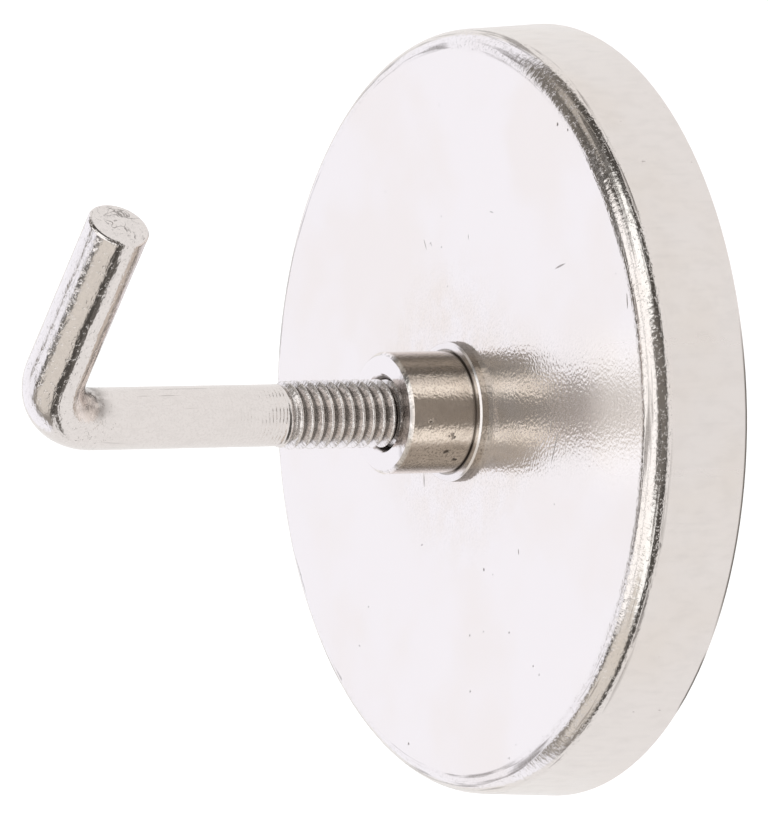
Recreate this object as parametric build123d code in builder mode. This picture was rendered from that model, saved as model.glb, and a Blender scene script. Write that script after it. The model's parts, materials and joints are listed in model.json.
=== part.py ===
"""Hook pot magnet: a drawn steel cup around a ferrite ring, with a riveted bush and a bent screw hook.

Millimetres. The cup's rim stands on Z = 0, its axis is Z, and the hook's arm points along +X.
"""

from build123d import *

import os
from math import cos, radians, sin, tan

# ---- Driving dimensions ----

# Cup, drawn from sheet, a little wider at its open rim
rim_radius = 33.5
cup_height = 8.9
sheet_thickness = 1.5
wall_draft = 3.5
corner_radius = 2.0
inner_corner_radius = 0.4
rim_edge_break = 0.2

# Ferrite ring, and the moulded spacer that centres it in the cup
magnet_bore_radius = 9.0
magnet_recess = 0.15
magnet_edge_break = 0.4
spacer_width = 2.2
spacer_recess = 0.5

# Bush, riveted through the middle of the cup
bush_radius = 5.25
bush_rise = 7.15
bush_face_chamfer = 0.3
bush_mouth_radius = 3.4
bush_flange_radius = 6.05
bush_flange_thickness = 0.78
bush_flange_chamfer = 0.15
bush_spigot_radius = 4.3
rivet_lip_radius = 5.3
rivet_lip_thickness = 0.9
rivet_lip_chamfer = 0.35

# Hook, one bent rod whose thread is rolled above the rod's own radius
shank_radius = 2.67
thread_radius = 2.95
thread_past_bush = 0.6
thread_above_bush = 9.8
thread_lead_chamfer = 0.55
thread_runout = 0.9
hook_height = 42.9
bend_radius = 5.1
bend_turn = 92.0
arm_reach = 21.4

# Radial room between pieces that slide or screw into each other
fit_clearance = 0.05

# ---- Sizes that follow ----

draft_slope = tan(radians(wall_draft))
cup_ceiling = cup_height - sheet_thickness
face_corner_radius = rim_radius - cup_height * draft_slope
inner_rim_radius = rim_radius - sheet_thickness / cos(radians(wall_draft))
inner_ceiling_radius = inner_rim_radius - cup_ceiling * draft_slope
cup_hole_radius = bush_spigot_radius + fit_clearance

spacer_outer_radius = inner_ceiling_radius - fit_clearance
spacer_inner_radius = spacer_outer_radius - spacer_width
magnet_radius = spacer_inner_radius - fit_clearance

bush_face_height = cup_height + bush_rise
flange_top = cup_height + bush_flange_thickness
lip_bottom = cup_ceiling - rivet_lip_thickness
bush_bore_radius = thread_radius + fit_clearance

hook_end = lip_bottom - thread_past_bush
rod_start = hook_end + thread_lead_chamfer
thread_top = bush_face_height + thread_above_bush
bend_angle = radians(bend_turn)
bend_centre_height = cup_height + hook_height - shank_radius - bend_radius
corner_height = bend_centre_height + bend_radius * tan(bend_angle / 2)
arm_tip = (arm_reach * sin(bend_angle), corner_height + arm_reach * cos(bend_angle))

os.makedirs("parts", exist_ok=True)

# ---- Cup: face, rounded corner and drafted wall in one drawing ----

with BuildPart() as pot_cup:
    with BuildSketch(Plane.XZ):
        with BuildLine():
            Polyline(
                (cup_hole_radius, cup_height),
                (face_corner_radius, cup_height),
                (rim_radius, 0),
                (inner_rim_radius, 0),
                (inner_ceiling_radius, cup_ceiling),
                (cup_hole_radius, cup_ceiling),
                close=True,
            )
        make_face()
        rim_row, ceiling_row, face_row = vertices().group_by(Axis.Y)
        fillet(face_row.sort_by(Axis.X)[-1], corner_radius)
        fillet(ceiling_row.sort_by(Axis.X)[-1], inner_corner_radius)
        chamfer(rim_row.sort_by(Axis.X)[-1], rim_edge_break)
    revolve(axis=Axis.Z)
pot_cup.part.label = "pot_cup"
export_step(pot_cup.part, "parts/pot_cup.step")

# ---- Spacer: a moulded ring with the wall's draft, clear of the cup's inner corner ----

with BuildPart() as spacer_ring:
    with BuildSketch(Plane.XZ):
        with BuildLine():
            Polyline(
                (spacer_inner_radius, cup_ceiling),
                (spacer_outer_radius, cup_ceiling),
                (spacer_outer_radius + (cup_ceiling - spacer_recess) * draft_slope, spacer_recess),
                (spacer_inner_radius, spacer_recess),
                close=True,
            )
        make_face()
        ceiling_row = vertices().group_by(Axis.Y)[-1]
        chamfer(ceiling_row.sort_by(Axis.X)[-1], inner_corner_radius + fit_clearance)
    revolve(axis=Axis.Z)
spacer_ring.part.label = "spacer_ring"
export_step(spacer_ring.part, "parts/spacer_ring.step")

# ---- Ferrite ring: pressed, ground flat on both faces, edges broken ----

with BuildPart() as ferrite_magnet:
    with BuildSketch(Plane.XY.offset(magnet_recess)):
        Circle(magnet_radius)
        Circle(magnet_bore_radius, mode=Mode.SUBTRACT)
    extrude(amount=cup_ceiling - magnet_recess)
    chamfer(edges().filter_by(GeomType.CIRCLE), magnet_edge_break)
ferrite_magnet.part.label = "ferrite_magnet"
export_step(ferrite_magnet.part, "parts/ferrite_magnet.step")

# ---- Bush: flange on the cup's face, spigot through its hole, lip riveted over inside ----

with BuildPart() as threaded_bush:
    with BuildSketch(Plane.XZ):
        with BuildLine():
            Polyline(
                (0, bush_face_height),
                (bush_radius, bush_face_height),
                (bush_radius, flange_top),
                (bush_flange_radius, flange_top),
                (bush_flange_radius, cup_height),
                (bush_spigot_radius, cup_height),
                (bush_spigot_radius, cup_ceiling),
                (rivet_lip_radius, cup_ceiling),
                (rivet_lip_radius, lip_bottom),
                (0, lip_bottom),
                close=True,
            )
        make_face()
        heights = vertices().group_by(Axis.Y)
        lip_row, flange_row, face_row = heights[0], heights[-2], heights[-1]
        chamfer(face_row.sort_by(Axis.X)[-1], bush_face_chamfer)
        chamfer(flange_row.sort_by(Axis.X)[-1], bush_flange_chamfer)
        chamfer(lip_row.sort_by(Axis.X)[-1], rivet_lip_chamfer)
    revolve(axis=Axis.Z)
    with Locations(Plane.XY.offset(bush_face_height)):
        CounterSinkHole(bush_bore_radius, bush_mouth_radius, counter_sink_angle=90)
threaded_bush.part.label = "threaded_bush"
export_step(threaded_bush.part, "parts/threaded_bush.step")

# ---- Screw hook: rod swept round its bend, on a thicker threaded foot with a run-out and a lead ----

with BuildPart() as screw_hook:
    with BuildLine(Plane.XZ) as hook_line:
        FilletPolyline((0, rod_start), (0, corner_height), arm_tip, radius=bend_radius)
    with BuildSketch(Plane.XY.offset(rod_start)):
        Circle(shank_radius)
    sweep(path=hook_line.line)
    with BuildSketch(Plane.XZ):
        with BuildLine():
            Polyline(
                (0, hook_end),
                (thread_radius - thread_lead_chamfer, hook_end),
                (thread_radius, rod_start),
                (thread_radius, thread_top),
                (shank_radius, thread_top + thread_runout),
                (0, thread_top + thread_runout),
                close=True,
            )
        make_face()
    revolve(axis=Axis.Z)
screw_hook.part.label = "screw_hook"
export_step(screw_hook.part, "parts/screw_hook.step")
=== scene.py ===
"""Hook pot magnet, dressed and lit: nickel-plated cup, bush and threaded hook on a pale floor.

Metres, in the packed model's own frame: the rim stands on Z = 0 and the hook's arm points along +X.
"""

import json
import math

import bpy
from mathutils import Matrix, Vector


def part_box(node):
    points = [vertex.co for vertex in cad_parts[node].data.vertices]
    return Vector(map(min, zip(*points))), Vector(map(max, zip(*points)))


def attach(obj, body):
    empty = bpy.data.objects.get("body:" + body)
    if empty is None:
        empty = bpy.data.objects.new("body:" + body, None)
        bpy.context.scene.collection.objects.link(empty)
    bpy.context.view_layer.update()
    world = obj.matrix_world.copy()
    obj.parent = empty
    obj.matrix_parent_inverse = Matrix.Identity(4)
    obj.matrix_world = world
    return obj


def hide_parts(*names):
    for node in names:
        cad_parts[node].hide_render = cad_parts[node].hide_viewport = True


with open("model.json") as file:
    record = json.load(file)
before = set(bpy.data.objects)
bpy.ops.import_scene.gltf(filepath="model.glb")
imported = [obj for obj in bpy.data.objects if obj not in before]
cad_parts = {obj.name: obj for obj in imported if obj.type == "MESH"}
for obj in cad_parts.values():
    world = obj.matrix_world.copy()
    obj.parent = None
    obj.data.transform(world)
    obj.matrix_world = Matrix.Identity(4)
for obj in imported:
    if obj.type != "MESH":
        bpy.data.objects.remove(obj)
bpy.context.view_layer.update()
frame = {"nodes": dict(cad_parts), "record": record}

bl_info = {
    "name": "Hook pot magnet",
    "version": (1, 0, 0),
    "blender": (4, 5, 0),
    "location": "View3D > Sidebar > Pot magnet",
    "description": "Dresses a pot magnet with a screw hook and sets its studio",
    "category": "Object",
}

MM = 0.001
BODY = "root"

CUP_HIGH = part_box("pot_cup")[1]
BUSH_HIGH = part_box("threaded_bush")[1]
HOOK_LOW, HOOK_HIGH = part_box("screw_hook")
MOUNTS = {mount["name"]: mount for mount in frame["record"]["mounts"]}
ARM = MOUNTS["hook_arm"]

# Sizes of the solids that their boxes don't give
RIM_RADIUS = CUP_HIGH.x
BUSH_RADIUS = 5.25 * MM
BUSH_MOUTH_RADIUS = 3.4 * MM
FLANGE_TOP = CUP_HIGH.z + 0.78 * MM
THREADED_LENGTH = 20.0 * MM

# Fineness of the hook's mesh and of the floor's edge
ROD_SIDES = 96
STEPS_A_TURN = 24
PLAIN_STEP = 0.4 * MM
BEND_STEPS = 40
TIP_EDGE_STEPS = 8
FLOOR_SIDES = 96

# Form of the rolled thread, its flat crest and the start of its fading in parts of the pitch
FLANK_ANGLE = math.radians(30.0)
CREST_WIDTH = 1 / 8
FADE_BELOW_TOP = 0.6
# Edges of the hook that turn by more than this are shaded sharp
SHARP_EDGE = math.radians(42.0)

# Directions across the face: the arc of the rim's foot that is painted dark as shade, and the lane
# from the bush toward the camera, where the face mirrors the bush
RIM_SHADE_ARC = Vector((0.50, -0.866, 0.0))
ALONG_LANE = Vector((0.663, -0.749, 0.0))
ACROSS_LANE = Vector((0.749, 0.663, 0.0))
# Directions in which the bush's side is painted dark, as a reflection of the dim studio
DARK_REFLECTION_LOW = Vector((-0.187, -0.977, 0.0))
DARK_REFLECTION_HIGH = Vector((0.998, 0.055, 0.0))

# What the object sees of the table under it, and the paper that the camera sees
TABLE = (0.96, 0.955, 0.95)
PAPER = (0.35, 0.35, 0.35)
PAPER_GLOW = 0.75
WHITE = (1.0, 1.0, 1.0)

# Softbox overhead: its middle and half widths, as cosines towards the camera and aside
SOFTBOX_MIDDLE = 0.08
SOFTBOX_HALF_AHEAD = 0.57
SOFTBOX_HALF_ASIDE = 0.56

# Patches of the studio: turn from the camera, elevation, half angle and blur, in degrees
AROUND_CAMERA = (0.0, 30.0, 24.0, 9.0)
CLOTH_END = (-151.0, 47.0, 12.0, 3.0)
SIDE_LAMPS = ((52.0, 36.0, 19.0, 3.5), (-52.0, 36.0, 19.0, 3.5))
WARM_CARD = (-90.0, 36.0, 25.5, 4.5)
FAR_CARD = (103.0, 34.0, 11.0, 6.0)

# Soft lamps: place and width in metres, and power in watts
LAMPS = {
    "key_lamp": ((0.5, -0.9, 1.3), 1.0, 14.0),
    "fill_lamp": ((-0.9, 0.5, 1.1), 1.4, 8.0),
    "under_lamp": ((0.3, -0.6, -0.9), 1.2, 6.0),
}


# ---- Node trees written as Python expressions ----


class Field:
    """An output socket whose Python operators add Math nodes to its tree."""

    def __init__(self, tree, socket):
        self.tree = tree
        self.socket = socket

    def math(self, operation, *values, clamp=False):
        return self.tree.add(
            "ShaderNodeMath", {"operation": operation, "use_clamp": clamp}, dict(enumerate(values))
        )

    def __add__(self, other):
        return self.math("ADD", self, other)

    def __radd__(self, other):
        return self.math("ADD", other, self)

    def __sub__(self, other):
        return self.math("SUBTRACT", self, other)

    def __rsub__(self, other):
        return self.math("SUBTRACT", other, self)

    def __mul__(self, other):
        return self.math("MULTIPLY", self, other)

    def __truediv__(self, other):
        return self.math("DIVIDE", self, other)

    def __pow__(self, power):
        return self.math("POWER", self, power)

    def __neg__(self):
        return self.math("MULTIPLY", self, -1.0)

    def __abs__(self):
        return self.math("ABSOLUTE", self)

    def least(self, other):
        return self.math("MINIMUM", self, other)

    def most(self, other):
        return self.math("MAXIMUM", self, other)

    def fraction(self):
        return self.math("FRACT", self)

    def clamped(self):
        return self.math("ADD", self, 0.0, clamp=True)

    def angle(self, x):
        """Angle about an axis of the point with this Y and that X."""
        return self.math("ARCTAN2", self, x)

    def ramp(self, low, high):
        """0 below low, 1 above high, and the other way round where low is the larger."""
        return self.tree.add(
            "ShaderNodeMapRange",
            {"interpolation_type": "SMOOTHSTEP"},
            {"Value": self, "From Min": low, "From Max": high, "To Min": 0.0, "To Max": 1.0},
        )

    def parts(self):
        """X, Y and Z of a vector."""
        node = self.tree.node("ShaderNodeSeparateXYZ", {}, {0: self})
        return [Field(self.tree, output) for output in node.outputs]


class Tree:
    """Adds nodes to one node tree."""

    def __init__(self, nodes):
        self.nodes = nodes
        self.nodes.nodes.clear()

    def node(self, kind, settings=None, values=None):
        """A node of that kind: its settings first, then a value or a link for each named socket."""
        made = self.nodes.nodes.new(kind)
        for name, value in (settings or {}).items():
            setattr(made, name, value)
        for key, value in (values or {}).items():
            socket = find_socket(made.inputs, key)
            if isinstance(value, Field):
                self.nodes.links.new(value.socket, socket)
            else:
                socket.default_value = value
        return made

    def add(self, kind, settings=None, values=None, output=0):
        """The same, returning one of its outputs to go on with."""
        made = self.node(kind, settings, values)
        return Field(self, find_socket(made.outputs, output))

    def vector(self, x, y, z):
        return self.add("ShaderNodeCombineXYZ", {}, {0: x, 1: y, 2: z})

    def mix(self, factor, first, second):
        """Colour from first to second."""
        return self.add(
            "ShaderNodeMix",
            {"data_type": "RGBA"},
            {"Factor_Float": factor, "A_Color": first, "B_Color": second},
            output="Result_Color",
        )

    def noise(self, place, scale, detail, roughness, distortion=0.0):
        return self.add(
            "ShaderNodeTexNoise",
            {"noise_dimensions": "3D"},
            {
                "Vector": place,
                "Scale": scale,
                "Detail": detail,
                "Roughness": roughness,
                "Distortion": distortion,
            },
        )

    def stretch(self, place, x, y, z):
        """A place with each of its axes scaled."""
        return self.add(
            "ShaderNodeVectorMath", {"operation": "MULTIPLY"}, {0: place, 1: (x, y, z)}
        )


def find_socket(sockets, key):
    """A socket by place, identifier or name."""
    if isinstance(key, int):
        return sockets[key]
    for socket in sockets:
        if socket.identifier == key:
            return socket
    return sockets[key]


def rgba(colour, times=1.0):
    """A colour with its alpha, each channel multiplied."""
    return (*(channel * times for channel in colour), 1.0)


# ---- Sizes and colours that a user would change ----


class HookSizes(bpy.types.PropertyGroup):
    """Sizes of the hook's thread and rod."""

    pitch: bpy.props.FloatProperty(
        name="Thread pitch", description="Rise of the thread in one turn",
        default=1.0 * MM, min=0.2 * MM, unit="LENGTH",
    )
    crest_radius: bpy.props.FloatProperty(
        name="Crest radius", description="Outside radius of the thread",
        default=HOOK_HIGH.y, unit="LENGTH",
    )
    root_radius: bpy.props.FloatProperty(
        name="Root radius", description="Radius at the bottom of the thread",
        default=2.4 * MM, unit="LENGTH",
    )
    rod_radius: bpy.props.FloatProperty(
        name="Rod radius", description="Radius of the plain rod",
        default=ARM["dims"]["r_mm"] * MM, unit="LENGTH",
    )
    lead: bpy.props.FloatProperty(
        name="Lead chamfer", description="Length of the chamfer at the screwed end",
        default=0.55 * MM, unit="LENGTH",
    )
    thread_top: bpy.props.FloatProperty(
        name="Thread top", description="Height at which the full thread ends",
        default=BUSH_HIGH.z + 9.8 * MM, unit="LENGTH",
    )
    runout: bpy.props.FloatProperty(
        name="Run-out", description="Length over which the thread fades into the rod",
        default=0.9 * MM, unit="LENGTH",
    )
    bend_radius: bpy.props.FloatProperty(
        name="Bend radius", description="Radius of the rod's centre line round the bend",
        default=5.1 * MM, unit="LENGTH",
    )
    tip_break: bpy.props.FloatProperty(
        name="Tip edge", description="Radius of the cropped edge at the arm's tip",
        default=0.28 * MM, min=0.02 * MM, unit="LENGTH",
    )


class FinishColours(bpy.types.PropertyGroup):
    """Colours of the finishes."""

    nickel: bpy.props.FloatVectorProperty(
        name="Nickel", description="Plated steel of the cup and the hook",
        subtype="COLOR", size=3, min=0.0, max=1.0, default=(0.80, 0.752, 0.728),
    )
    bush_nickel: bpy.props.FloatVectorProperty(
        name="Bush nickel", description="Plated steel of the turned bush",
        subtype="COLOR", size=3, min=0.0, max=1.0, default=(0.82, 0.735, 0.655),
    )
    # Grime colour: dirt in scratches, and painted shade in roots, corners and creases
    grime_and_shade: bpy.props.FloatVectorProperty(
        name="Grime", description="Dirt in scratches, roots and corners",
        subtype="COLOR", size=3, min=0.0, max=1.0, default=(0.115, 0.095, 0.08),
    )
    ferrite: bpy.props.FloatVectorProperty(
        name="Ferrite", description="Ground ferrite",
        subtype="COLOR", size=3, min=0.0, max=1.0, default=(0.035, 0.035, 0.038),
    )
    spacer: bpy.props.FloatVectorProperty(
        name="Spacer", description="Moulded plastic",
        subtype="COLOR", size=3, min=0.0, max=1.0, default=(0.02, 0.02, 0.02),
    )


class StudioSettings(bpy.types.PropertyGroup):
    """Camera, lamps and surroundings."""

    camera_azimuth: bpy.props.FloatProperty(
        name="Camera azimuth", description="Turn of the camera round the upright axis",
        subtype="ANGLE", default=math.radians(41.508),
    )
    camera_elevation: bpy.props.FloatProperty(
        name="Camera elevation", description="Height of the camera over the floor",
        subtype="ANGLE", default=math.radians(29.5),
    )
    camera_roll: bpy.props.FloatProperty(
        name="Camera roll", description="Turn of the picture about the line of sight",
        subtype="ANGLE", default=math.radians(91.133),
    )
    camera_distance: bpy.props.FloatProperty(
        name="Camera distance", description="From the camera to the point that it looks at",
        unit="LENGTH", default=725.232 * MM,
    )
    camera_aim: bpy.props.FloatVectorProperty(
        name="Camera aim", description="Point that the camera looks at",
        subtype="TRANSLATION", unit="LENGTH", size=3,
        default=(-4.2255 * MM, 5.3024 * MM, 11.9679 * MM),
    )
    lens: bpy.props.FloatProperty(
        name="Lens", description="Focal length of the camera in millimetres, on a 36 mm sensor",
        unit="CAMERA", default=367.58,
    )
    floor_radius: bpy.props.FloatProperty(
        name="Floor radius", description="Reach of the pale floor", unit="LENGTH", default=4.0,
    )
    surround: bpy.props.FloatVectorProperty(
        name="Surround", description="Dim part of the studio round the camera",
        subtype="COLOR", size=3, min=0.0, default=(0.148, 0.139, 0.127),
    )
    backdrop: bpy.props.FloatVectorProperty(
        name="Backdrop", description="Lit cloth behind the object",
        subtype="COLOR", size=3, min=0.0, max=4.0, default=(1.12, 1.14, 1.225),
    )
    softbox: bpy.props.FloatVectorProperty(
        name="Softbox", description="Large soft lamp over the object",
        subtype="COLOR", size=3, min=0.0, max=4.0, default=(1.30, 1.30, 1.30),
    )
    card: bpy.props.FloatVectorProperty(
        name="Card", description="Warm white card on the camera's left",
        subtype="COLOR", size=3, min=0.0, max=4.0, default=(0.82, 0.785, 0.73),
    )
    side_lamp: bpy.props.FloatVectorProperty(
        name="Side lamps", description="Two soft lamps beside the camera",
        subtype="COLOR", size=3, min=0.0, max=4.0, default=(1.36, 1.40, 1.40),
    )


GROUPS = {"pot_hook": HookSizes, "pot_finish": FinishColours, "pot_studio": StudioSettings}


# ---- Finishes ----


def new_material(name):
    """An empty material, its tree, and where on the piece a point lies."""
    material = bpy.data.materials.new(name)
    material.use_nodes = True
    tree = Tree(material.node_tree)
    place = tree.add("ShaderNodeTexCoord", {}, {}, output="Object")
    return material, tree, place


def finish_surface(tree, colour, roughness, metallic, height):
    """Principled surface joined to the output, its height in millimetres."""
    normal = tree.add("ShaderNodeBump", {}, {"Strength": 1.0, "Distance": MM, "Height": height})
    shader = tree.add(
        "ShaderNodeBsdfPrincipled", {},
        {"Base Color": colour, "Roughness": roughness, "Metallic": metallic, "Normal": normal},
    )
    tree.node("ShaderNodeOutputMaterial", {}, {"Surface": shader})


def dress(node, material):
    """Gives a CAD node its material."""
    piece = frame["nodes"][node]
    piece.data.materials.clear()
    piece.data.materials.append(material)


def facing(tree, direction, toward):
    """Cosine of the angle between a direction and a fixed one."""
    return tree.add(
        "ShaderNodeVectorMath", {"operation": "DOT_PRODUCT"},
        {0: direction, 1: toward}, output="Value",
    )


def speckle(tree, place, scale, low=0.48, high=0.64):
    """Scattered specks, 1 on each."""
    return tree.noise(place, scale, 2.0, 0.6).ramp(low, high)


def mark(tree, place, middle, turn, half_sizes):
    """1 on an oval mark, 0 off it: millimetres, turned in degrees about Z from +X."""
    local = tree.add(
        "ShaderNodeMapping", {"vector_type": "TEXTURE"},
        {
            "Vector": place,
            "Location": Vector(middle) * MM,
            "Rotation": (0.0, 0.0, math.radians(turn)),
            "Scale": Vector(half_sizes) * MM,
        },
    )
    reach = tree.add("ShaderNodeVectorMath", {"operation": "LENGTH"}, {0: local}, output="Value")
    return reach.ramp(1.0, 0.45)


def marks(tree, place, listed):
    """1 on any of the listed marks."""
    found = [mark(tree, place, *one) for one in listed]
    total = found[0]
    for one in found[1:]:
        total = total.most(one)
    return total


# Marks: middle, turn from +X, and half sizes along, across and upwards
FACE_TOP = CUP_HIGH.z / MM
FACE_DARK_MARKS = (
    ((-8.0, 0.1, FACE_TOP), 42.0, (0.70, 0.09, 1.0)),
    ((26.1, -16.0, FACE_TOP), 45.0, (0.75, 0.10, 1.0)),
    ((30.3, 2.1, FACE_TOP), 20.0, (0.22, 0.16, 1.0)),
    ((31.0, 0.5, FACE_TOP), 70.0, (0.16, 0.12, 1.0)),
    ((27.0, 16.5, FACE_TOP), 0.0, (0.20, 0.10, 1.0)),
    ((28.6, 14.2, FACE_TOP), 40.0, (0.20, 0.10, 1.0)),
    ((-7.1, -12.5, FACE_TOP), 40.0, (0.18, 0.13, 1.0)),
    ((-2.0, -15.9, FACE_TOP), 50.0, (0.30, 0.08, 1.0)),
    ((-13.1, -14.3, FACE_TOP), 0.0, (0.12, 0.10, 1.0)),
    ((-8.4, -19.1, FACE_TOP), 0.0, (0.12, 0.10, 1.0)),
    ((-16.8, -17.4, FACE_TOP), 0.0, (0.14, 0.10, 1.0)),
    ((-27.6, -12.4, FACE_TOP), 0.0, (0.15, 0.15, 1.0)),
    ((-7.9, -23.9, FACE_TOP), 0.0, (0.12, 0.10, 1.0)),
)
FACE_FINE_SCRATCHES = (
    ((8.0, 12.9, FACE_TOP), 66.0, (0.60, 0.06, 1.0)),
    ((13.3, 7.6, FACE_TOP), 40.0, (0.30, 0.05, 1.0)),
    ((17.5, 5.9, FACE_TOP), 120.0, (0.35, 0.05, 1.0)),
    ((21.3, -5.8, FACE_TOP), -35.0, (1.10, 0.10, 1.0)),
    ((8.9, -14.8, FACE_TOP), 17.0, (1.70, 0.09, 1.0)),
    ((9.8, -13.2, FACE_TOP), 30.0, (0.70, 0.07, 1.0)),
)
BUSH_NICKS = (
    ((1.58, -5.01, 11.9), 20.0, (0.50, 0.40, 0.50)),
    ((-0.10, -5.25, 12.0), 0.0, (0.55, 0.40, 0.40)),
    ((-0.87, -5.18, 10.8), -10.0, (0.45, 0.40, 0.30)),
    ((2.90, -4.38, 14.1), 35.0, (0.30, 0.40, 0.50)),
)
ROD_SCRATCHES = (
    ((2.67, -0.24, 38.6), 0.0, (0.20, 0.06, 3.0)),
    ((2.59, 0.68, 36.6), 0.0, (0.20, 0.06, 5.2)),
)


def cup_material(colours):
    """Hazy nickel on drawn steel: grained face, crackled corner, wall drawn along the axis."""
    material, tree, place = new_material("cup_nickel")
    x, y, z = place.parts()
    radius = (x * x + y * y) ** 0.5
    around = y.angle(x) * RIM_RADIUS
    on_wall = z.ramp(CUP_HIGH.z - 1.5 * MM, CUP_HIGH.z - 2.1 * MM)
    on_face = z.ramp(CUP_HIGH.z - 0.03 * MM, CUP_HIGH.z)
    on_corner = (1.0 - on_wall) * (1.0 - on_face)
    near_bush = radius.ramp(17.0 * MM, 7.0 * MM)
    # The rim's foot by the floor, where it is painted darker as shade
    rim = z.ramp(0.22 * MM, 0.08 * MM)

    cloud = tree.noise(place, 70.0, 3.0, 0.55)
    blotch = tree.noise(place, 420.0, 4.0, 0.6)
    grain = tree.noise(place, 3900.0, 1.0, 0.4)
    crackle = tree.noise(place, 2400.0, 2.0, 0.4)
    fringe = tree.noise(tree.vector(around, radius * 0.2, z * 0.2), 3600.0, 1.0, 0.4)
    drawn = tree.noise(tree.vector(around, z * 0.04, 0.0), 2200.0, 2.0, 0.4)
    # Streaks along the corner: a slight bump, and painted shade that breaks up the corner's
    # highlight
    arcs = tree.noise(tree.vector(around * 0.05, radius, z), 2200.0, 2.0, 0.5).ramp(0.54, 0.70)
    mottle = tree.noise(tree.vector(around, z * 0.5, radius), 900.0, 3.0, 0.6)
    # Where round the rim's foot the painted shade lies: random stretches, and one arc of it
    rim_shade_arc = tree.noise(tree.vector(around, 0.0, 0.0), 45.0, 1.0, 0.5).ramp(0.60, 0.66)
    rim_shade_arc = rim_shade_arc.most(facing(tree, place, RIM_SHADE_ARC).ramp(RIM_RADIUS * 0.90, RIM_RADIUS * 0.97))
    # The lane runs from the bush toward the camera, where the face mirrors the bush; it is rougher,
    # and its dark specks and less metallic far end paint the grain and look of that reflection
    lane = facing(tree, place, ACROSS_LANE)
    down_lane = facing(tree, place, ALONG_LANE)
    in_lane = abs(lane).ramp(8.5 * MM, 3.0 * MM) * down_lane.ramp(0.0, 5.0 * MM)
    far_end = down_lane.ramp(20.0 * MM, 27.0 * MM)
    dark_marks = marks(tree, place, FACE_DARK_MARKS) * on_face
    fine_marks = marks(tree, place, FACE_FINE_SCRATCHES) * on_face
    specks = tree.noise(place, 1100.0, 2.0, 0.5).ramp(0.76, 0.79)
    pits = speckle(tree, place, 4400.0)
    dents = speckle(tree, place, 3400.0, 0.58, 0.68)

    nickel = rgba(colours.nickel)
    warm = rgba([channel * tint for channel, tint in zip(colours.nickel, (0.96, 0.93, 0.88))])
    haze = (cloud.ramp(0.44, 0.66) * 0.45 + near_bush * blotch.ramp(0.35, 0.65) * 0.6).clamped()
    wall_marks = (mottle.ramp(0.4, 0.7) * 0.04 + drawn.ramp(0.55, 0.75) * 0.02) * on_wall
    # Dark marks, specks and wall marks are dirt; the rim's foot is painted shade
    dirt_and_painted_shade = (dark_marks * 0.8).most(specks * 0.35).most(rim * rim_shade_arc * 0.9).most(wall_marks)
    # In the corner: pits, and the streaks' painted shade
    dirt_and_painted_shade = dirt_and_painted_shade.most(on_corner * (pits * 0.05).most(arcs * 0.60)).most(fine_marks * 0.6)
    # Specks near the bush, and along the lane as painted grain in the bush's reflection
    dirt_and_painted_shade = dirt_and_painted_shade.most(on_face * pits * (near_bush * 0.07 + in_lane * 0.09))
    colour = tree.mix(dirt_and_painted_shade, tree.mix(haze, nickel, warm), rgba(colours.grime_and_shade))
    roughness = (
        0.10
        + cloud * 0.02
        + on_wall * 0.14
        + in_lane * 0.035
        + on_corner * pits * 0.08
        + dirt_and_painted_shade * 0.2
    )
    # Less metallic along the lane, most at its far end: part of the painted reflection
    metallic = 1.0 - on_face * (0.04 + in_lane * (0.12 + far_end * 0.30))
    height = (
        grain * (0.015 + in_lane * 0.011) * on_face
        + (crackle * 0.023 + fringe * 0.010 - dents * 0.012 - arcs * 0.008) * on_corner
        + drawn * 0.010 * on_wall
        - dark_marks * 0.03
        - fine_marks * 0.02
    )
    finish_surface(tree, colour, roughness, metallic, height)
    return material


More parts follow.
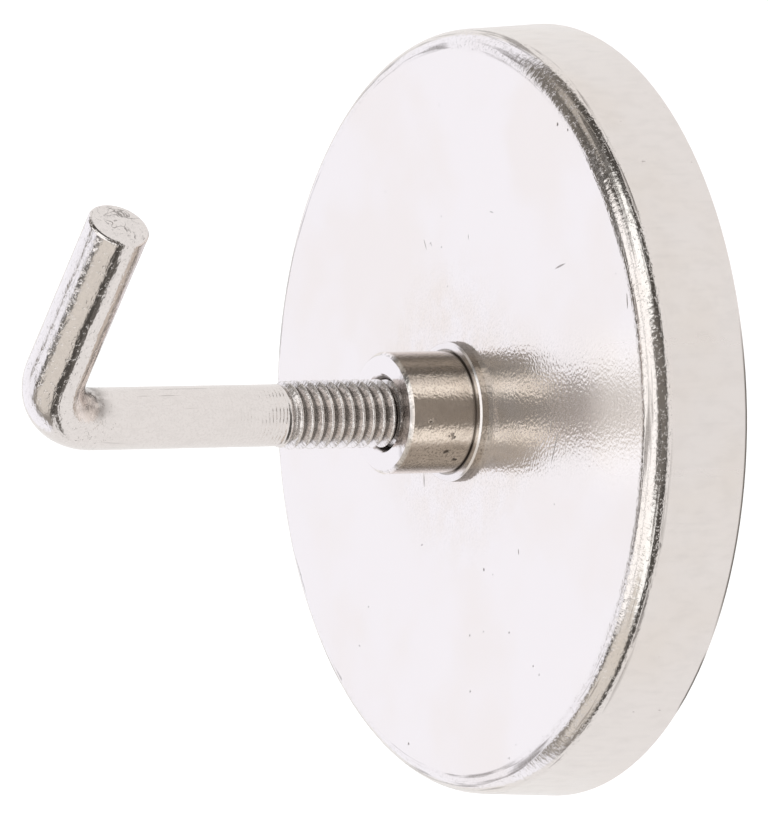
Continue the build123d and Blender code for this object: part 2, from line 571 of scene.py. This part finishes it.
def bush_material(colours):
    """Nickel on turned steel: a clean face, and a browner side with nicks and grain."""
    material, tree, place = new_material("bush_nickel")
    x, y, z = place.parts()
    radius = (x * x + y * y) ** 0.5
    around = y.angle(x) * BUSH_HIGH.x
    grain = tree.noise(place, 3800.0, 1.0, 0.4)
    rings = tree.noise(tree.vector(around * 0.06, radius, z), 3000.0, 2.0, 0.5)
    # Mottle for stains on the side and for the shank's painted reflection
    stain_and_reflection_mottle = tree.noise(tree.stretch(place, 1.0, 1.0, 0.6), 900.0, 4.0, 0.65)
    pits = speckle(tree, place, 5200.0)
    below_face = z.ramp(BUSH_HIGH.z, BUSH_HIGH.z - 0.45 * MM)
    flange = radius.ramp(BUSH_RADIUS + 0.07 * MM, BUSH_RADIUS + 0.17 * MM)
    flange = flange * z.ramp(FLANGE_TOP - 0.20 * MM, FLANGE_TOP - 0.12 * MM)
    flange_side = radius.ramp(BUSH_RADIUS + 0.15 * MM, BUSH_RADIUS + 0.45 * MM) * (1.0 - flange)
    turned_away = facing(tree, place, ALONG_LANE).ramp(4.5 * MM, 3.2 * MM) * flange_side
    # Two bands of the side painted dark: painted reflection
    dark_reflection_bands = facing(tree, place, DARK_REFLECTION_LOW).ramp(4.65 * MM, 5.05 * MM) * 0.42
    dark_reflection_bands = dark_reflection_bands + facing(tree, place, DARK_REFLECTION_HIGH).ramp(4.55 * MM, 5.0 * MM) * 0.34
    # The top of the bush on the camera's side, where it mirrors the shank: mottled dark as a
    # painted reflection, and grained
    shank_reflection_zone = facing(tree, place, ALONG_LANE).ramp(2.6 * MM, 3.6 * MM) * (1.0 - below_face)
    side = below_face * (1.0 - flange)
    # Inside the bore's mouth: painted shade
    in_mouth = radius.ramp(BUSH_MOUTH_RADIUS - 0.05 * MM, BUSH_MOUTH_RADIUS - 0.25 * MM)
    # The crease where the bush meets its flange: painted shade
    root = z.ramp(FLANGE_TOP + 0.32 * MM, FLANGE_TOP + 0.02 * MM)
    root = root * radius.ramp(BUSH_RADIUS + 0.25 * MM, BUSH_RADIUS + 0.15 * MM)
    ragged = tree.noise(tree.stretch(place, 1.0, 1.0, 0.5), 2200.0, 2.0, 0.6).ramp(0.50, 0.58)
    nicks = marks(tree, place, BUSH_NICKS) * ragged
    edge_wear = z.ramp(BUSH_HIGH.z - 0.6 * MM, BUSH_HIGH.z - 0.2 * MM)
    edge_wear = edge_wear * radius.ramp(BUSH_RADIUS - 0.35 * MM, BUSH_RADIUS - 0.25 * MM)
    # Painted shade in the mouth and at the root, with pits, nicks and stains
    dirt_and_painted_shade = (in_mouth * 0.9).most(root * 0.6).most(pits * side * 0.26).most(nicks * 0.7)
    dirt_and_painted_shade = dirt_and_painted_shade.most(stain_and_reflection_mottle.ramp(0.45, 0.75) * side * 0.2).most(pits * edge_wear * 0.4)
    # Mottle over the shank's painted reflection, and the side's painted dark bands
    dirt_and_painted_shade = dirt_and_painted_shade.most(shank_reflection_zone * stain_and_reflection_mottle.ramp(0.40, 0.62) * 0.45) + dark_reflection_bands * side
    browned = side * (1.0 - turned_away)
    plate = tree.mix(browned, rgba(colours.nickel), rgba(colours.bush_nickel))
    colour = tree.mix(dirt_and_painted_shade, plate, rgba(colours.grime_and_shade))
    roughness = 0.12 + side * 0.03 + flange * 0.10 + turned_away * 0.30 + dirt_and_painted_shade * 0.2
    height = grain * (0.006 + side * 0.016 + shank_reflection_zone * 0.014) + rings * 0.005 - nicks * 0.03
    finish_surface(tree, colour, roughness, 1.0, height)
    return material


def hook_material(colours, bend_start, rod_length):
    """Nickel on drawn rod: crackled arm, and dirt in the thread's root and inside the bend."""
    material, tree, place = new_material("hook_nickel")
    flow = tree.add("ShaderNodeAttribute", {"attribute_name": "rod_flow"}, {}, output="Vector")
    depth = tree.add("ShaderNodeAttribute", {"attribute_name": "thread_depth"}, {}, output="Fac")
    inward, _, along = flow.parts()
    drawn = tree.noise(tree.stretch(flow, 1.0, 1.0, 0.06), 3000.0, 2.0, 0.4)
    grain = tree.noise(flow, 3800.0, 1.0, 0.4)
    crackle = tree.noise(tree.stretch(flow, 1.0, 1.0, 0.4), 2200.0, 2.0, 0.5)
    fold = tree.noise(tree.stretch(flow, 1.0, 1.0, 0.4), 1000.0, 3.0, 0.5)
    mottle = tree.noise(tree.stretch(flow, 1.0, 1.0, 0.5), 1500.0, 3.0, 0.6)
    pits = speckle(tree, flow, 4400.0)
    dents = speckle(tree, flow, 2400.0, 0.60, 0.68)
    rings = abs((along / (0.34 * MM) + fold * 0.8).fraction() - 0.5) * 2.0
    rolled = rings.ramp(0.2, 0.8) * mottle.ramp(0.3, 0.6)
    past_thread = along - THREADED_LENGTH
    on_thread = past_thread.ramp(0.5 * MM, 0.0)
    on_shank = past_thread.ramp(0.3 * MM, 0.9 * MM) * past_thread.ramp(13.0 * MM, 5.0 * MM)
    on_arm = along.ramp(bend_start - 3.0 * MM, bend_start + 1.0 * MM)
    on_tip = along.ramp(rod_length - 0.02 * MM, rod_length - 0.005 * MM)
    streak = tree.noise(tree.stretch(flow, 1.0, 1.0, 0.1), 1100.0, 3.0, 0.5).ramp(0.64, 0.74)
    # The thread's root: painted shade
    root = depth.ramp(0.62, 1.0)
    # Inside the bend: painted shade, with pits and folds
    in_bend = (
        inward.ramp(1.0 * MM, 2.4 * MM)
        * along.ramp(bend_start - 1.2 * MM, bend_start + 1.0 * MM)
        * along.ramp(bend_start + 8.2 * MM, bend_start + 6.0 * MM)
    )
    torn = abs(tree.noise(flow, 620.0, 2.0, 0.5, 1.6) - 0.5).ramp(0.030, 0.008)
    torn = torn * tree.noise(flow, 420.0, 1.0, 0.5).ramp(0.44, 0.54) * on_tip
    scratches = marks(tree, place, ROD_SCRATCHES) * mottle.ramp(0.35, 0.5)
    # Painted shade in the thread's root and inside the bend, with streaks, pits, tip marks and
    # scratches
    dirt_and_painted_shade = (root * 0.85).most(streak * 0.3).most(pits * (0.07 + on_thread * 0.22 + in_bend * 0.5))
    dirt_and_painted_shade = dirt_and_painted_shade.most(in_bend * (0.20 + fold.ramp(0.4, 0.65) * 0.42)).most(torn * 0.6)
    dirt_and_painted_shade = dirt_and_painted_shade.most(scratches * 0.4).most(mottle.ramp(0.45, 0.7) * 0.06)
    dirt_and_painted_shade = dirt_and_painted_shade.most(rolled * on_shank * 0.05)
    colour = tree.mix(dirt_and_painted_shade.clamped(), rgba(colours.nickel), rgba(colours.grime_and_shade))
    roughness = 0.12 + on_thread * (0.02 + pits * 0.16) + on_tip * 0.1 + in_bend * 0.1
    metallic = 1.0 - on_thread * 0.18
    height = (
        drawn * 0.006
        + grain * (0.008 + on_thread * 0.030 + on_tip * 0.006)
        + crackle * (0.004 + on_arm * 0.026)
        + fold * (0.004 + on_arm * 0.034)
        - dents * (on_arm * 0.014 + on_thread * 0.010)
        + rolled * on_shank * 0.004
        - (streak + scratches) * 0.01
        - torn * 0.03
    )
    finish_surface(tree, colour, roughness, metallic, height)
    return material


def ferrite_material(colours):
    """Pressed and ground ferrite: fine pores, faint grinding lines, paler chips at its edges."""
    material, tree, place = new_material("ferrite")
    grain = tree.noise(place, 1800.0, 4.0, 0.65)
    lines = tree.noise(tree.stretch(place, 1.0, 0.04, 1.0), 1600.0, 3.0, 0.6)
    chips = tree.noise(place, 420.0, 3.0, 0.6).ramp(0.66, 0.72)
    pale = rgba(colours.ferrite, 2.2)
    colour = tree.mix((lines * 0.5 + chips * 0.4).clamped(), rgba(colours.ferrite), pale)
    roughness = 0.5 + grain * 0.2
    finish_surface(tree, colour, roughness, 0.0, grain * 0.01 + lines * 0.006 - chips * 0.02)
    return material


def spacer_material(colours):
    """Moulded matt plastic with a fine grain."""
    material, tree, place = new_material("spacer_plastic")
    grain = tree.noise(place, 2200.0, 3.0, 0.6)
    pale = rgba(colours.spacer, 2.0)
    colour = tree.mix(grain.ramp(0.35, 0.75), rgba(colours.spacer), pale)
    finish_surface(tree, colour, 0.45 + grain * 0.2, 0.0, grain * 0.012)
    return material


# ---- Threaded rod ----


def hook_centre_line(sizes):
    """Points of the rod's centre line, its length to the bend, and its whole length."""
    arm_axis = Vector(ARM["axis"]).normalized()
    arm_half = ARM["dims"]["length_mm"] * MM / 2
    arm_middle = Vector(ARM["pos_m"])
    bend_end = arm_middle - arm_axis * arm_half
    tip = arm_middle + arm_axis * arm_half
    turn = math.acos(arm_axis.z)
    bend_start = Vector((0.0, 0.0, bend_end.z - sizes.bend_radius * math.sin(turn)))
    bend_centre = bend_start + Vector((sizes.bend_radius, 0.0, 0.0))

    foot = Vector((0.0, 0.0, HOOK_LOW.z))
    fine_top = Vector((0.0, 0.0, sizes.thread_top + sizes.runout + sizes.pitch))
    points = [foot]
    add_run(points, fine_top, sizes.pitch / STEPS_A_TURN)
    add_run(points, bend_start, PLAIN_STEP)
    for step in range(1, BEND_STEPS + 1):
        angle = turn * step / BEND_STEPS
        points.append(
            bend_centre
            + Vector((-math.cos(angle), 0.0, math.sin(angle))) * sizes.bend_radius
        )
    edge = tip - arm_axis * sizes.tip_break * 1.2
    add_run(points, edge, PLAIN_STEP)
    add_run(points, tip, sizes.tip_break / TIP_EDGE_STEPS)
    rod_length = sum((after - before).length for before, after in zip(points, points[1:]))
    return points, bend_start.z - foot.z, rod_length


def add_run(points, end, step):
    """Adds a straight run to end, in equal steps of about that length."""
    start = points[-1]
    count = max(1, round((end - start).length / step))
    for index in range(1, count + 1):
        points.append(start.lerp(end, index / count))


def store(tree, geometry, name, kind, value):
    """Keeps a value on each point of a geometry, under that name."""
    return tree.add(
        "GeometryNodeStoreNamedAttribute", {"data_type": kind, "domain": "POINT"},
        {"Geometry": geometry, "Name": name, "Value": value},
    )


def kept(tree, name, kind):
    """The value that was stored under that name."""
    return tree.add("GeometryNodeInputNamedAttribute", {"data_type": kind}, {"Name": name})


def thread_tree():
    """Geometry nodes that sweep a rod along its centre line and roll a thread on its foot."""
    group = bpy.data.node_groups.new("rolled_thread_rod", "GeometryNodeTree")
    interface = group.interface
    interface.new_socket(name="Geometry", in_out="INPUT", socket_type="NodeSocketGeometry")
    for name in (
        "Pitch", "Crest Radius", "Root Radius", "Rod Radius", "Lead", "Top", "Run-out", "Tip Edge",
        "Rod Length",
    ):
        interface.new_socket(name=name, in_out="INPUT", socket_type="NodeSocketFloat")
    interface.new_socket(name="Sides", in_out="INPUT", socket_type="NodeSocketInt")
    interface.new_socket(name="Material", in_out="INPUT", socket_type="NodeSocketMaterial")
    interface.new_socket(name="Geometry", in_out="OUTPUT", socket_type="NodeSocketGeometry")

    tree = Tree(group)
    entry = tree.node("NodeGroupInput")
    given = {socket.name: Field(tree, socket) for socket in entry.outputs if socket.name}

    # Each point keeps its place along the rod, its ring's centre, and where round the rod it lies
    length = tree.add("GeometryNodeSplineParameter", {}, {}, output="Length")
    place = tree.add("GeometryNodeInputPosition")
    line = store(tree, given["Geometry"], "rod_length", "FLOAT", length)
    line = store(tree, line, "rod_centre", "FLOAT_VECTOR", place)
    circle = tree.add(
        "GeometryNodeCurvePrimitiveCircle", {"mode": "RADIUS"},
        {"Resolution": given["Sides"], "Radius": given["Rod Radius"]},
    )
    circle = store(tree, circle, "rod_round", "FLOAT_VECTOR", place)
    swept = tree.add(
        "GeometryNodeCurveToMesh", {}, {"Curve": line, "Profile Curve": circle, "Fill Caps": True}
    )

    x, y, z = place.parts()
    centre = kept(tree, "rod_centre", "FLOAT_VECTOR")
    along = kept(tree, "rod_length", "FLOAT")

    # Right-hand thread: flat crest, straight flanks and rounded root
    turn = y.angle(x) / math.tau
    phase = (z / given["Pitch"] - turn).fraction()
    from_crest = abs(phase - 0.5) * given["Pitch"]
    crest_half = given["Pitch"] * (CREST_WIDTH / 2)
    depth_full = given["Crest Radius"] - given["Root Radius"]
    flank_width = depth_full * math.tan(FLANK_ANGLE)
    straight = ((from_crest - crest_half) / flank_width).clamped()
    groove = straight * 0.5 + straight.ramp(0.0, 1.0) * 0.5

    fade_start = given["Top"] - given["Pitch"] * FADE_BELOW_TOP
    fade = z.ramp(fade_start, given["Top"] + given["Run-out"])
    ground = given["Crest Radius"] - fade * (given["Crest Radius"] - given["Rod Radius"])
    depth = groove * (1.0 - fade)
    lead = given["Crest Radius"] - given["Lead"] + along
    radius = (ground - depth * depth_full).least(lead)

    outward = tree.add("ShaderNodeVectorMath", {"operation": "SUBTRACT"}, {0: place, 1: centre})
    direction = tree.add("ShaderNodeVectorMath", {"operation": "NORMALIZE"}, {0: outward})

    # Rounded edge at the cropped tip
    edge = given["Tip Edge"]
    into_edge = (1.0 - (given["Rod Length"] - along) / edge).clamped()
    rounded_off = edge * (1.0 - (1.0 - into_edge * into_edge) ** 0.5)
    on_foot = tree.add(
        "FunctionNodeCompare", {"data_type": "FLOAT", "operation": "LESS_THAN"},
        {"A": along, "B": given["Rod Length"] / 2},
    )
    radius = tree.add(
        "GeometryNodeSwitch", {"input_type": "FLOAT"},
        {"Switch": on_foot, "False": given["Rod Radius"] - rounded_off, "True": radius},
    )
    pushed = tree.add(
        "ShaderNodeVectorMath", {"operation": "SCALE"}, {0: direction, "Scale": radius}
    )
    new_place = tree.add("ShaderNodeVectorMath", {"operation": "ADD"}, {0: centre, 1: pushed})
    marked = store(tree, swept, "thread_depth", "FLOAT", depth)
    rolled = tree.add(
        "GeometryNodeSetPosition", {}, {"Geometry": marked, "Position": new_place}
    )

    # The rod as if straightened, for patterns that follow it
    round_x, round_y, _ = kept(tree, "rod_round", "FLOAT_VECTOR").parts()
    flow = tree.vector(round_x, round_y, along)
    flowing = store(tree, rolled, "rod_flow", "FLOAT_VECTOR", flow)
    smooth = tree.add(
        "GeometryNodeSetShadeSmooth", {"domain": "FACE"},
        {"Geometry": flowing, "Shade Smooth": True},
    )
    crease = tree.add("GeometryNodeInputMeshEdgeAngle")
    is_sharp = tree.add(
        "FunctionNodeCompare", {"data_type": "FLOAT", "operation": "GREATER_THAN"},
        {"A": crease, "B": SHARP_EDGE},
    )
    creased = tree.add(
        "GeometryNodeSetShadeSmooth", {"domain": "EDGE"},
        {"Geometry": smooth, "Selection": is_sharp, "Shade Smooth": False},
    )
    real = tree.add("GeometryNodeRealizeInstances", {}, {0: creased})
    painted = tree.add(
        "GeometryNodeSetMaterial", {}, {"Geometry": real, "Material": given["Material"]}
    )
    tree.node("NodeGroupOutput", {}, {"Geometry": painted})
    return group


def polyline_curve(name, points):
    """A curve object through the points."""
    curve = bpy.data.curves.new(name, "CURVE")
    curve.dimensions = "3D"
    spline = curve.splines.new("POLY")
    spline.points.add(len(points) - 1)
    for knot, point in zip(spline.points, points):
        knot.co = (*point, 1.0)
    made = bpy.data.objects.new(name, curve)
    bpy.context.scene.collection.objects.link(made)
    return made


def run_tree(source, group, inputs, name):
    """The plain mesh object that a node group makes of a source object, which is then removed."""
    modifier = source.modifiers.new(name, "NODES")
    modifier.node_group = group
    for item in group.interface.items_tree:
        if item.in_out == "INPUT" and item.name in inputs:
            modifier[item.identifier] = inputs[item.name]
    bpy.context.view_layer.update()
    graph = bpy.context.evaluated_depsgraph_get()
    mesh = bpy.data.meshes.new_from_object(source.evaluated_get(graph), depsgraph=graph)
    mesh.name = name
    made = bpy.data.objects.new(name, mesh)
    bpy.context.scene.collection.objects.link(made)
    bpy.data.objects.remove(source)
    return made


# ---- Operators: one for each piece, and one for the studio ----


class POTMAGNET_OT_cup(bpy.types.Operator):
    """Plate the drawn cup"""

    bl_idname = "potmagnet.cup"
    bl_label = "Cup"

    def execute(self, context):
        dress("pot_cup", cup_material(context.scene.pot_finish))
        return {"FINISHED"}


class POTMAGNET_OT_bush(bpy.types.Operator):
    """Plate the threaded bush"""

    bl_idname = "potmagnet.bush"
    bl_label = "Bush"

    def execute(self, context):
        dress("threaded_bush", bush_material(context.scene.pot_finish))
        return {"FINISHED"}


class POTMAGNET_OT_hook(bpy.types.Operator):
    """Make the hook with its rolled thread"""

    bl_idname = "potmagnet.hook"
    bl_label = "Screw hook"

    def execute(self, context):
        sizes = context.scene.pot_hook
        points, bend_start, rod_length = hook_centre_line(sizes)
        material = hook_material(context.scene.pot_finish, bend_start, rod_length)
        line = polyline_curve("hook_line", points)
        hook = run_tree(
            line,
            thread_tree(),
            {
                "Pitch": sizes.pitch,
                "Crest Radius": sizes.crest_radius,
                "Root Radius": sizes.root_radius,
                "Rod Radius": sizes.rod_radius,
                "Lead": sizes.lead,
                "Top": sizes.thread_top,
                "Run-out": sizes.runout,
                "Tip Edge": sizes.tip_break,
                "Rod Length": rod_length,
                "Sides": ROD_SIDES,
                "Material": material,
            },
            "threaded_hook",
        )
        if len(hook.data.polygons) == 0:
            raise RuntimeError("the hook came out empty")
        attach(hook, BODY)
        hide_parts("screw_hook")
        return {"FINISHED"}


class POTMAGNET_OT_magnet(bpy.types.Operator):
    """Finish the ferrite ring and its spacer"""

    bl_idname = "potmagnet.magnet"
    bl_label = "Magnet and spacer"

    def execute(self, context):
        colours = context.scene.pot_finish
        dress("ferrite_magnet", ferrite_material(colours))
        dress("spacer_ring", spacer_material(colours))
        return {"FINISHED"}


class POTMAGNET_OT_studio(bpy.types.Operator):
    """Lay the floor and set the lamps, the surroundings and the camera"""

    bl_idname = "potmagnet.studio"
    bl_label = "Studio"

    def execute(self, context):
        studio = context.scene.pot_studio
        lay_floor(studio)
        light_world(studio)
        hang_lamps()
        set_camera(studio)
        context.scene.view_settings.view_transform = "Standard"
        return {"FINISHED"}


# ---- Studio ----


def lay_floor(studio):
    """A wide white disc under the rim, and clear from below so that the magnet can be seen."""
    turns = [math.tau * side / FLOOR_SIDES for side in range(FLOOR_SIDES)]
    rim = [
        Vector((math.cos(turn), math.sin(turn), 0.0)) * studio.floor_radius for turn in turns
    ]
    mesh = bpy.data.meshes.new("floor")
    mesh.from_pydata(rim, [], [range(FLOOR_SIDES)])
    floor = bpy.data.objects.new("floor", mesh)
    bpy.context.scene.collection.objects.link(floor)

    material = bpy.data.materials.new("floor_white")
    material.use_nodes = True
    tree = Tree(material.node_tree)
    rays = tree.node("ShaderNodeLightPath")
    looked_at = Field(tree, rays.outputs["Is Camera Ray"])
    shadow = Field(tree, rays.outputs["Is Shadow Ray"])
    from_below = tree.add("ShaderNodeNewGeometry", {}, {}, output="Backfacing")
    x, y, _ = tree.add("ShaderNodeTexCoord", {}, {}, output="Object").parts()
    ahead = bearing(studio, 0.0, 0.0)
    behind = -(x * ahead.x + y * ahead.y)
    table = ((x * x + y * y) ** 0.5).ramp(0.24, 0.18).most(behind.ramp(0.05, 0.08))
    matt = tree.add("ShaderNodeBsdfDiffuse", {}, {"Color": rgba(PAPER)})
    glow = tree.add("ShaderNodeEmission", {}, {"Color": rgba(WHITE), "Strength": PAPER_GLOW})
    paper = tree.add("ShaderNodeAddShader", {}, {0: matt, 1: glow})
    seen = tree.mix(table, rgba(studio.surround), rgba(TABLE))
    mirrored = tree.add("ShaderNodeEmission", {}, {"Color": seen, "Strength": 1.0})
    surface = tree.add("ShaderNodeMixShader", {}, {0: looked_at, 1: mirrored, 2: paper})
    clear = tree.add("ShaderNodeBsdfTransparent", {}, {})
    whole = tree.add("ShaderNodeMixShader", {}, {0: from_below.most(shadow), 1: surface, 2: clear})
    tree.node("ShaderNodeOutputMaterial", {}, {"Surface": whole})
    mesh.materials.append(material)


def bearing(studio, turn, elevation):
    """Unit vector at a turn, in degrees, from the camera's side of the studio."""
    azimuth = studio.camera_azimuth + math.radians(turn)
    height = math.radians(elevation)
    return Vector((
        math.sin(azimuth) * math.cos(height),
        -math.cos(azimuth) * math.cos(height),
        math.sin(height),
    ))


def patch(tree, direction, studio, shape):
    """1 inside a round, soft-edged patch of the studio, given as for SIDE_LAMPS."""
    turn, elevation, half_angle, blur = shape
    inner = math.cos(math.radians(half_angle - blur))
    outer = math.cos(math.radians(half_angle + blur))
    return facing(tree, direction, bearing(studio, turn, elevation)).ramp(outer, inner)


def light_world(studio):
    """White where it is looked at; for the object, a dim room with a lit cloth and soft lamps."""
    world = bpy.data.worlds.new("studio")
    bpy.context.scene.world = world
    world.use_nodes = True
    tree = Tree(world.node_tree)
    direction = tree.add("ShaderNodeTexCoord", {}, {}, output="Generated")
    forward = facing(tree, direction, bearing(studio, 0.0, 0.0))
    aside = facing(tree, direction, bearing(studio, 90.0, 0.0))
    height = facing(tree, direction, Vector((0.0, 0.0, 1.0)))

    around_camera = patch(tree, direction, studio, AROUND_CAMERA)
    room = tree.mix(around_camera, rgba(studio.surround, 0.55), rgba(studio.surround, 1.4))
    rear = forward.ramp(-0.02, -0.25) * height.ramp(0.82, 0.76)
    rear = rear * (1.0 - aside.ramp(-0.2, 0.2) * 0.5)
    room = tree.mix(rear, room, rgba(studio.surround, 2.2))
    cloth = (forward + (height.most(0.2) - 0.33) * 0.62).ramp(-0.45, -0.60)
    cloth = cloth * height.ramp(0.715, 0.685)
    cloth = cloth.most(patch(tree, direction, studio, CLOTH_END))
    sky = tree.mix(cloth, room, rgba(studio.backdrop))
    ahead = (forward - SOFTBOX_MIDDLE) / SOFTBOX_HALF_AHEAD
    off_lamp = (ahead ** 2.0 + (aside / SOFTBOX_HALF_ASIDE) ** 2.0) ** 0.5
    seam = 1.0 - abs(forward - 0.01).ramp(0.05, 0.02) * 0.55
    overhead = off_lamp.ramp(1.04, 0.96) * height.ramp(0.0, 0.2) * seam
    sky = tree.mix(overhead, sky, rgba(studio.softbox))
    for shape in SIDE_LAMPS:
        sky = tree.mix(patch(tree, direction, studio, shape), sky, rgba(studio.side_lamp))
    card = patch(tree, direction, studio, WARM_CARD) * height.ramp(0.84, 0.79)
    sky = tree.mix(card, sky, rgba(studio.card))
    far_card = patch(tree, direction, studio, FAR_CARD) * 0.6
    sky = tree.mix(far_card, sky, rgba(studio.card))

    rays = tree.node("ShaderNodeLightPath")
    direct = Field(tree, rays.outputs["Is Camera Ray"])
    shown = tree.mix(direct, sky, rgba(WHITE))
    background = tree.add("ShaderNodeBackground", {}, {"Color": shown, "Strength": 1.0})
    tree.node("ShaderNodeOutputWorld", {}, {"Surface": background})


def hang_lamps():
    """Broad soft lamps, two above and one below, for the floor and the matt pieces."""
    for name, (place, size, power) in LAMPS.items():
        lamp = bpy.data.lights.new(name, "AREA")
        lamp.shape = "DISK"
        lamp.size = size
        lamp.energy = power
        hung = bpy.data.objects.new(name, lamp)
        bpy.context.scene.collection.objects.link(hung)
        hung.location = place
        hung.rotation_euler = (-Vector(place)).to_track_quat("-Z", "Y").to_euler()
        hung.visible_glossy = False
        hung.visible_camera = False


def set_camera(studio):
    """The camera, rolled so that the hook's shank lies across the picture."""
    data = bpy.data.cameras.new("camera")
    data.lens = studio.lens
    data.clip_start = 0.01
    data.clip_end = 20.0
    camera = bpy.data.objects.new("camera", data)
    bpy.context.scene.collection.objects.link(camera)
    back = bearing(studio, 0.0, math.degrees(studio.camera_elevation))
    camera.location = Vector(studio.camera_aim) + back * studio.camera_distance
    camera.rotation_mode = "QUATERNION"
    level = (-back).to_track_quat("-Z", "Y")
    roll = Matrix.Rotation(-studio.camera_roll, 3, "Z").to_quaternion()
    camera.rotation_quaternion = level @ roll
    bpy.context.scene.camera = camera


# ---- Panel and registration ----


OPERATORS = (
    POTMAGNET_OT_cup,
    POTMAGNET_OT_bush,
    POTMAGNET_OT_hook,
    POTMAGNET_OT_magnet,
    POTMAGNET_OT_studio,
)


class POTMAGNET_PT_panel(bpy.types.Panel):
    """Lists the steps that dress the pot magnet"""

    bl_idname = "POTMAGNET_PT_panel"
    bl_label = "Pot magnet"
    bl_space_type = "VIEW_3D"
    bl_region_type = "UI"
    bl_category = "Pot magnet"

    def draw(self, context):
        for operator in OPERATORS:
            self.layout.operator(operator.bl_idname)
        for name, group in GROUPS.items():
            column = self.layout.column(heading=group.__doc__)
            for key in group.__annotations__:
                column.prop(getattr(context.scene, name), key)


def register():
    for made in (*GROUPS.values(), *OPERATORS, POTMAGNET_PT_panel):
        bpy.utils.register_class(made)
    for name, group in GROUPS.items():
        setattr(bpy.types.Scene, name, bpy.props.PointerProperty(type=group))


def unregister():
    for name in GROUPS:
        delattr(bpy.types.Scene, name)
    for made in (POTMAGNET_PT_panel, *reversed(OPERATORS), *reversed(GROUPS.values())):
        bpy.utils.unregister_class(made)


def main():
    register()
    for step in ("cup", "bush", "hook", "magnet", "studio"):
        getattr(bpy.ops.potmagnet, step)()


if __name__ == "__main__":
    main()
